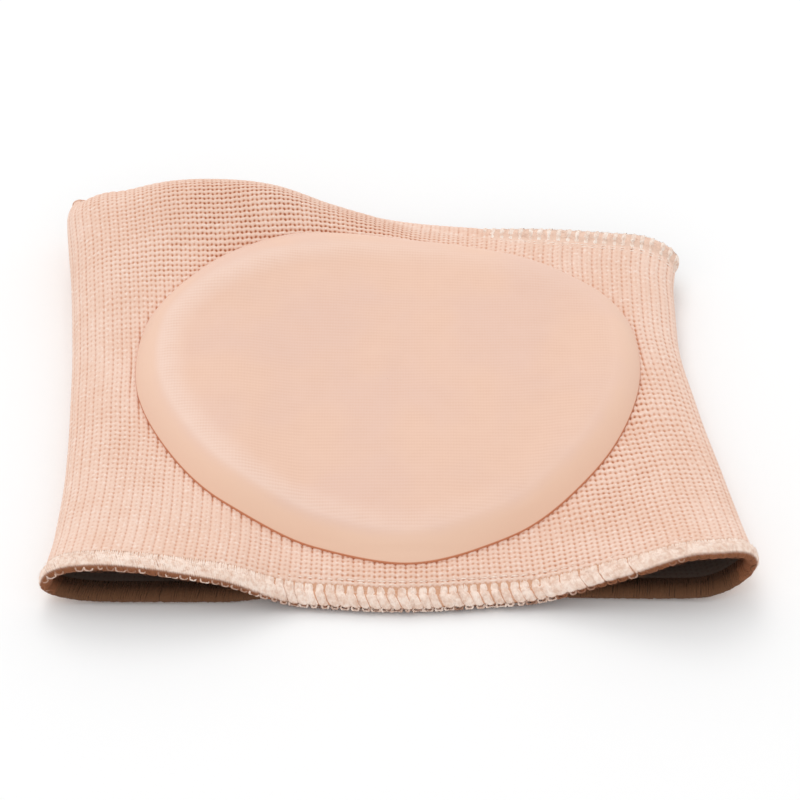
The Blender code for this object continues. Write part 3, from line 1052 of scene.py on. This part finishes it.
def pad_look(colours):
    """A fine stretch cover: faint lines both ways, painted shade that warms the bevel most at the
    front, a painted highlight on the shoulder strongest on the left, and a thin line of painted
    shadow at its rim. `inset` runs from 0 at the rim to 1 at the bevel's inner end."""
    look = Look("pad_cover")
    across, up = look.coordinate("weave")
    inset, height = look.attribute("inset"), look.attribute("height")
    patches = look.noise(14.0).between(0.35, 0.65)
    uneven = look.noise(2.5)
    lines = (wave(across) * 0.5 + wave(up)) * inset.between(0.5, 1.3)
    cover = look.mix(patches * 0.55, colours.pad, colours.pad_tone_and_bevel_shade)
    # Painted highlight along the shoulder, strongest on the left side.
    crest = inset.between(0.60, 1.0) * (1 - inset.between(1.1, 2.0))
    cover = look.mix(crest * look.attribute("crest"), cover, colours.pad_crest_highlight)
    # Painted shade on the bevel, warm and strongest at the front.
    bevel = (1 - inset.between(0.40, 0.90)) * look.attribute("warmth")
    cover = look.mix(bevel, cover, colours.pad_tone_and_bevel_shade)
    cover = look.mix(lines * (uneven * 0.5 + 0.15) * 0.80, cover, colours.pad_line)
    # Painted shadow along the rim, on the lowest part of the cover.
    surface = look.mix(1 - height.between(0.9, 1.5), cover, colours.pad_rim_shadow)
    look.set(Base_Color=surface, Roughness=0.68, Sheen_Weight=0.1, Specular_IOR_Level=0.3)
    look.bump(lines * 0.5 + look.noise(0.35) * 0.5, 0.02 * MM, 0.5)
    return look


class PieceOperator:
    """What the operators share."""

    bl_options = {"REGISTER", "UNDO"}

    def prepare(self, context):
        self.scene = context.scene
        self.wall = Wall(context.scene.sleeve_sizes)
        self.colours = context.scene.sleeve_colours


class METATARSAL_OT_knit(PieceOperator, bpy.types.Operator):
    """Add the knitted sleeve: its upper and lower outer face and its lining"""

    bl_idname = "metatarsal.knit"
    bl_label = "Knitted Sleeve"

    past_fold = 2
    # How much painted shade covers the inside of the sleeve.
    lining_shade_share = 0.92
    lining_stretch = 0.4
    rolled_from = 0.90
    rolled_to = 0.345
    rolled_start = 0.9 * MM
    rolled_depth = 0.22 * MM
    rolled_stretch = 0.08
    bare_depth = 0.4 * MM
    corner_fullness = 0.1 * MM

    def execute(self, context):
        self.prepare(context)
        ribs = Ribs(self.wall)
        look = knit_look("knit", self.colours)
        outside_pad = clearance_from_pad(self.wall, context.scene.pad_sizes)
        above = (-self.past_fold, ribs.above + self.past_fold)
        upper = knit_piece("knit_upper", ribs, above, 8, 3, outside_pad)
        below = (ribs.above + self.past_fold, ribs.count - self.past_fold)
        under = knit_piece("knit_under", ribs, below, 4, 2)
        rolled = self.rolled_edge(ribs, Edge(self.wall, context.scene.thread_sizes, 1))
        for piece in (upper, under, rolled):
            finish_piece(piece, look)
        lining = self.lining(ribs)
        # The inside of the sleeve gets the knit with painted shade over it.
        finish_piece(lining, knit_look("knit_lining", self.colours, self.lining_shade_share))
        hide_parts("knit_sleeve")
        return {"FINISHED"}

    def rolled_edge(self, ribs, edge):
        """The knit that is rolled over the rear hem: over its corner at the left, and over its
        back where the end turns down. Between them it runs hidden in the knit."""
        first, last = np.interp([self.rolled_from, self.rolled_to], ribs.arounds, ribs.by_around)
        first = first - ribs.count
        steps, turns = int((last - first) * 8), 24
        rib, turn = np.meshgrid(np.linspace(first, last, steps), np.linspace(0, 1, turns))
        around = ribs.around(rib)
        before = np.interp(around + 1, edge.arounds, edge.by_around) - edge.count
        after = np.interp(around, edge.arounds, edge.by_around)
        stitch = np.where(around < 0, before, after)
        course = ribs.rows(around) - 1.5 + 5.5 * turn
        rolled, covered = edge.rolled(stitch), edge.covered(stitch)
        corner = np.exp(-(((around - 0.005) / 0.03) ** 2))
        lift = (covered * 1.15 - 1.0) * self.bare_depth
        lift = lift + self.corner_fullness * corner * np.sin(pi * turn)
        angle = np.radians(150 - (70 + 120 * rolled) * turn)
        band, normal = edge.on_band(stitch, angle, lift)
        start_lift = (covered - 1) * self.bare_depth - self.rolled_depth
        start, _ = edge.on_knit(stitch, self.rolled_start, start_lift)
        share = blend(turn / 0.16)[..., None]
        points = start * (1 - share) + band * share
        stretch, faces = self.rolled_stretch, grid_faces(*rib.shape)
        depth = self.wall.sizes.relief * knit_depth(rib, course, stretch, 0.0)
        points = points - normal * depth[..., None]
        return knit_mesh("knit_rolled_edge", points, faces, rib, course, stretch)

    def lining(self, ribs):
        """The inner face, all the way round."""
        sizes = self.wall.sizes
        places = np.arange(0, ribs.count + 0.1, 0.5), np.arange(0, sizes.courses + 0.5)
        rib, course = np.meshgrid(*places)
        around, along = ribs.around(rib), course / sizes.courses
        normal = self.wall.frame(around, along)[1]
        points = self.wall.point(around, along) - normal * sizes.knit_wall
        faces = grid_faces(*rib.shape)[:, ::-1]
        return knit_mesh("knit_lining", points, faces, rib, course, self.lining_stretch)


class METATARSAL_OT_hems(PieceOperator, bpy.types.Operator):
    """Add the overlocked hem of each opening, with its needle line and loose fibres"""

    bl_idname = "metatarsal.hems"
    bl_label = "Overlocked Hems"

    needle_line = {"back": 0.95 * MM, "dip": 0.16 * MM}
    looper_line = {"back": 0.45 * MM, "dip": 0.10 * MM}
    core_dip = 0.92
    core_flap = 0.9 * MM
    core_end = 0.1 * MM
    core_tucked = 0.25 * MM
    core_shallow = 0.12 * MM

    def execute(self, context):
        self.prepare(context)
        threads, colours = context.scene.thread_sizes, self.colours
        for name, along, seed, bundle, sunk, tone, core_tone in (
            # The front hem's core colour carries painted shade for the gaps between its bundles.
            ("front_hem", 0, 11, threads.front_bundle, 0.40, colours.hem, colours.hem_core_shaded),
            ("rear_hem", 1, 12, threads.rear_bundle, 0.24, colours.hem_rear, colours.hem_rear_core),
        ):
            thread = thread_look(f"{name}_thread", tone, colours.hem_tone_and_shade, colours)
            # The core's darker tone for its random clumps, partly painted shade.
            darker = [part * self.core_dip for part in core_tone]
            core = thread_look(f"{name}_core", core_tone, darker, colours)
            edge = Edge(self.wall, threads, along)
            self.hem(name, edge, np.random.default_rng(seed), bundle, thread)
            finish_piece(self.core(f"{name}_core", edge, sunk * MM), core)
        return {"FINISHED"}

    def hem(self, name, edge, source, bundle, look):
        bundles = thread_piece(f"{name}_bundles", [overlock_strands(edge, source, bundle)])
        needle = line_stitches(edge, source, **self.needle_line)
        looper = line_stitches(edge, source, **self.looper_line)
        small = [edge_loops(edge, source), needle, looper, loose_fibres(edge, source)]
        for piece in (bundles, thread_piece(f"{name}_loops", small)):
            finish_piece(piece, look)
        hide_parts(name)

    def core(self, name, edge, sunk):
        """The cloth's edge inside the threads, from the knit's outer face to its inner one."""
        steps, turns = edge.count * 2 + 1, 14
        stitch = np.arange(steps)[:, None] / 2
        angles = np.broadcast_to(np.radians(np.linspace(150, -150, turns)), (steps, turns))
        at = np.broadcast_to(stitch, (steps, turns))
        band, _ = edge.on_band(at, angles, np.full(at.shape, -sunk))
        back = np.array([self.core_flap, self.core_end])
        outer_lift = np.tile([-self.core_tucked, -self.core_shallow], (steps, 1))
        inner_lift = np.full((steps, 2), self.core_tucked - self.wall.sizes.knit_wall)
        outer, _ = edge.on_knit(at[:, :2], back, outer_lift)
        inner, _ = edge.on_knit(at[:, :2], back[::-1], inner_lift)
        rows = np.concatenate([outer, band, inner], 1)
        shade = np.concatenate([angles[:, [0, 0]], angles, angles[:, [-1, -1]]], 1)
        # Painted shade on the core, as on the threads.
        values = {"low_side": edge.low_side(stitch, shade)}
        faces, maps = grid_faces(*shade.shape), {"OFBake": grid_map(*shade.shape)}
        return mesh_piece(name, rows, faces, maps, values)


class METATARSAL_OT_gel_pad(PieceOperator, bpy.types.Operator):
    """Add the gel pad in its smooth cover"""

    bl_idname = "metatarsal.gel_pad"
    bl_label = "Gel Pad"

    steps = 300
    bevel_rings = 20
    bevel_closeness = 1.5
    face_rings = 40
    front_fullness = 1.6
    rear_fullness = 2.5
    shoulder = 0.5
    shoulder_at = 0.04
    shoulder_width = 0.10
    weave_pitch = (0.42 * MM, 0.58 * MM)
    cloth_frames = 20
    cloth_pressure = 0.5
    cloth_ring_step = 3
    cloth_spoke_step = 5
    longest_swelling = 0.30 * MM

    def execute(self, context):
        self.prepare(context)
        cover = self.cover(context.scene.pad_sizes)
        finish_piece(cover, pad_look(self.colours))
        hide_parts("gel_pad")
        return {"FINISHED"}

    def profile(self, pad, distance, fullness):
        """The cover's rings, from under the rim up the bevel and over the face: how far in each
        lies, as a share of the way to the middle, and how high above the knit."""
        full = self.wall.sizes.gap + pad.thickness - 0.6 * self.longest_swelling
        level = np.zeros_like(fullness)
        insets = [np.zeros_like(distance)] * 2
        heights = [level - 1.5 * self.wall.sizes.relief, level + pad.rim * 0.8]
        for inset in np.linspace(0, 1, self.bevel_rings)[1:] ** self.bevel_closeness:
            insets.append(inset * pad.bevel / distance)
            heights.append(pad.rim + (full - pad.rim) * (1 - (1 - inset) ** fullness))
        face = insets[-1]
        for share in np.linspace(0, 1, self.face_rings + 1)[1:]:
            insets.append(face + (1 - face) * share * 0.999)
            from_shoulder = (share - self.shoulder_at) / self.shoulder_width
            rise = 1 - (1 - share) ** 2 + self.shoulder * np.exp(-(from_shoulder**2))
            heights.append(level + full + pad.crown * rise)
        return np.array(insets), np.array(heights)

    def cover(self, pad):
        """The cover from the knit at its rim, up its bevel and over its face."""
        outline, middle = pad_plan(self.wall, pad, self.steps)
        inward = middle - outline
        distance = np.linalg.norm(inward, axis=-1)
        rearness = blend(0.5 - inward[:, 1] / np.ptp(outline[:, 1]))
        fullness = self.front_fullness + (self.rear_fullness - self.front_fullness) * rearness
        insets, height = self.profile(pad, distance, fullness)

        plans = outline + inward * insets[..., None]
        around, along = self.wall.below(plans[..., 0], plans[..., 1])
        ground = self.wall.point(around, along)
        soft = 0.07 * MM * waviness(ground, 14 * MM, seed=21)
        soft = soft + 0.03 * MM * waviness(ground, 5 * MM, seed=22)
        height = height + soft * np.clip(height / pad.thickness, 0, 1) ** 2
        points = ground + self.wall.frame(around, along)[1] * height[..., None]
        points = points + self.swelling(points)

        low, high = plans.min((0, 1)), plans.max((0, 1))
        maps = {
            "weave": plans / np.array(self.weave_pitch),
            "OFBake": 0.01 + 0.98 * (plans - low) / (high - low),
        }
        level = np.zeros_like(insets)
        values = {
            "inset": insets * distance / pad.bevel,
            "height": height / pad.rim,
            # How strong the painted highlight on the shoulder is: most on the left.
            "crest": level + 0.55 + 0.45 * inward[:, 0] / distance,
            # How strong the bevel's painted shade is: most at the front.
            "warmth": level + 1 - 0.8 * rearness,
        }
        faces = grid_faces(len(insets), self.steps, closed=True)
        return mesh_piece("pad_cover", points, faces, maps, values)

    def swelling(self, points):
        """How far the cover moves when a cloth simulation blows it up over its gel, held at its
        rim. It runs on a coarser copy, and the gel's hold limits how far a place moves."""
        rings, steps = points.shape[:2]
        ring_picks = np.arange(1, rings - 2, self.cloth_ring_step)
        step_picks = np.arange(0, steps, self.cloth_spoke_step)
        count = len(step_picks)
        picked = points[ring_picks][:, step_picks].reshape(-1, 3)
        start = np.concatenate([picked, points[-1:].mean(1)])
        faces = grid_faces(len(ring_picks), count, closed=True).tolist()
        inner, middle = len(picked) - count, len(picked)
        faces += [[inner + step, inner + (step + 1) % count, middle] for step in range(count)]
        move = self.blown(start, faces, held=list(range(count))) - start

        distance = np.linalg.norm(move, axis=-1, keepdims=True)
        move = move / np.maximum(distance / self.longest_swelling, 1)
        middle_move = np.broadcast_to(move[-1], (1, count, 3))
        moves = move[:-1].reshape(len(ring_picks), count, 3)
        moves = np.concatenate([np.zeros((1, count, 3)), moves, middle_move])
        knots = np.concatenate([[0], ring_picks, [rings - 1]])
        moves = read_finer(moves, knots, np.arange(rings))
        moves = np.swapaxes(np.concatenate([moves, moves[:, :1]], 1), 0, 1)
        moves = read_finer(moves, np.append(step_picks, steps), np.arange(steps))
        return np.swapaxes(moves, 0, 1)

    def blown(self, start, faces, held):
        """The places of a sheet's vertices after pressure has filled it. The sheet is removed."""
        mesh = bpy.data.meshes.new("cloth")
        mesh.from_pydata(start.tolist(), [], faces)
        sheet = add_object("cloth", mesh)
        group = sheet.vertex_groups.new(name="held")
        group.add(held, 1.0, "REPLACE")
        modifier = sheet.modifiers.new("cloth", "CLOTH")
        modifier.settings.vertex_group_mass = group.name
        modifier.settings.use_pressure = True
        modifier.settings.uniform_pressure_force = self.cloth_pressure
        modifier.settings.effector_weights.gravity = 0
        modifier.point_cache.frame_end = self.cloth_frames
        for frame_number in range(1, self.cloth_frames + 1):
            self.scene.frame_set(frame_number)
        filled = sheet.evaluated_get(bpy.context.evaluated_depsgraph_get()).to_mesh()
        end = np.empty(start.size, np.float32)
        filled.vertices.foreach_get("co", end)
        bpy.data.objects.remove(sheet)
        bpy.data.meshes.remove(mesh)
        self.scene.frame_set(1)
        return end.reshape(-1, 3)


class METATARSAL_OT_stage(PieceOperator, bpy.types.Operator):
    """Add the floor, the soft lights and the camera"""

    bl_idname = "metatarsal.stage"
    bl_label = "Stage"

    floor_size = 6.0
    floor_drop = 0.05 * MM
    sensor_width = 36

    def execute(self, context):
        self.prepare(context)
        settings = context.scene.stage_settings
        self.floor(settings)
        self.light("key_light", (-0.45, 0.15, 1.9), 1.3, settings.key)
        self.light("rear_light", (-0.2, 1.1, 1.3), 0.9, settings.rear)
        self.sky(settings)
        self.camera(settings)
        self.scene.view_settings.view_transform = "Standard"
        return {"FINISHED"}

    def floor(self, settings):
        place = (0, 0, -self.floor_drop)
        bpy.ops.mesh.primitive_plane_add(size=self.floor_size, location=place)
        floor = bpy.context.object
        floor.name = "floor"
        look = Look("floor")
        look.set(Base_Color=settings.floor, Roughness=0.9, Specular_IOR_Level=0.1)
        floor.data.materials.append(look.material)

    def light(self, name, place, size, power):
        """A round light that points at the middle of the floor."""
        data = bpy.data.lights.new(name, "AREA")
        data.shape = "DISK"
        data.size = size
        data.energy = power
        self.aim(add_object(name, data), Vector(place), -Vector(place))

    def sky(self, settings):
        world = bpy.data.worlds.new("even_light")
        world.use_nodes = True
        background = world.node_tree.nodes["Background"]
        background.inputs["Color"].default_value = (1, 1, 1, 1)
        background.inputs["Strength"].default_value = settings.sky
        self.scene.world = world

    def camera(self, settings):
        data = bpy.data.cameras.new("camera")
        self.scene.camera = add_object("camera", data)
        back = Vector((0, -np.cos(settings.elevation), np.sin(settings.elevation)))
        place = Vector((0, 0, settings.look_height)) + back * settings.distance
        self.aim(self.scene.camera, place, -back)
        data.sensor_width = self.sensor_width
        data.lens = data.sensor_width * settings.distance / settings.view_width
        data.clip_start = settings.distance / 100
        data.clip_end = settings.distance * 100

    def aim(self, aimed, place, direction):
        """Put a light or camera in its place, pointing in a direction."""
        aimed.location = place
        aimed.rotation_euler = direction.to_track_quat("-Z", "Y").to_euler()


class METATARSAL_PT_panel(bpy.types.Panel):
    """Buttons for the pieces and the stage"""

    bl_idname = "METATARSAL_PT_panel"
    bl_label = "Metatarsal Pad"
    bl_space_type = "VIEW_3D"
    bl_region_type = "UI"
    bl_category = "Metatarsal Pad"

    def draw(self, context):
        for operator in OPERATORS:
            self.layout.operator(operator.bl_idname)
        for name, group in SETTINGS.items():
            box = self.layout.box()
            for size in group.__annotations__:
                box.prop(getattr(context.scene, name), size)


SETTINGS = {
    "sleeve_sizes": SleeveSizes,
    "sleeve_colours": SleeveColours,
    "thread_sizes": ThreadSizes,
    "pad_sizes": PadSizes,
    "stage_settings": StageSettings,
}
OPERATORS = (METATARSAL_OT_knit, METATARSAL_OT_hems, METATARSAL_OT_gel_pad, METATARSAL_OT_stage)


def register():
    for name, group in SETTINGS.items():
        bpy.utils.register_class(group)
        setattr(bpy.types.Scene, name, PointerProperty(type=group))
    for kind in (*OPERATORS, METATARSAL_PT_panel):
        bpy.utils.register_class(kind)


def unregister():
    for kind in (METATARSAL_PT_panel, *OPERATORS):
        bpy.utils.unregister_class(kind)
    for name, group in SETTINGS.items():
        delattr(bpy.types.Scene, name)
        bpy.utils.unregister_class(group)


def main():
    register()
    bpy.ops.metatarsal.knit()
    bpy.ops.metatarsal.hems()
    bpy.ops.metatarsal.gel_pad()
    bpy.ops.metatarsal.stage()


if __name__ == "__main__":
    main()
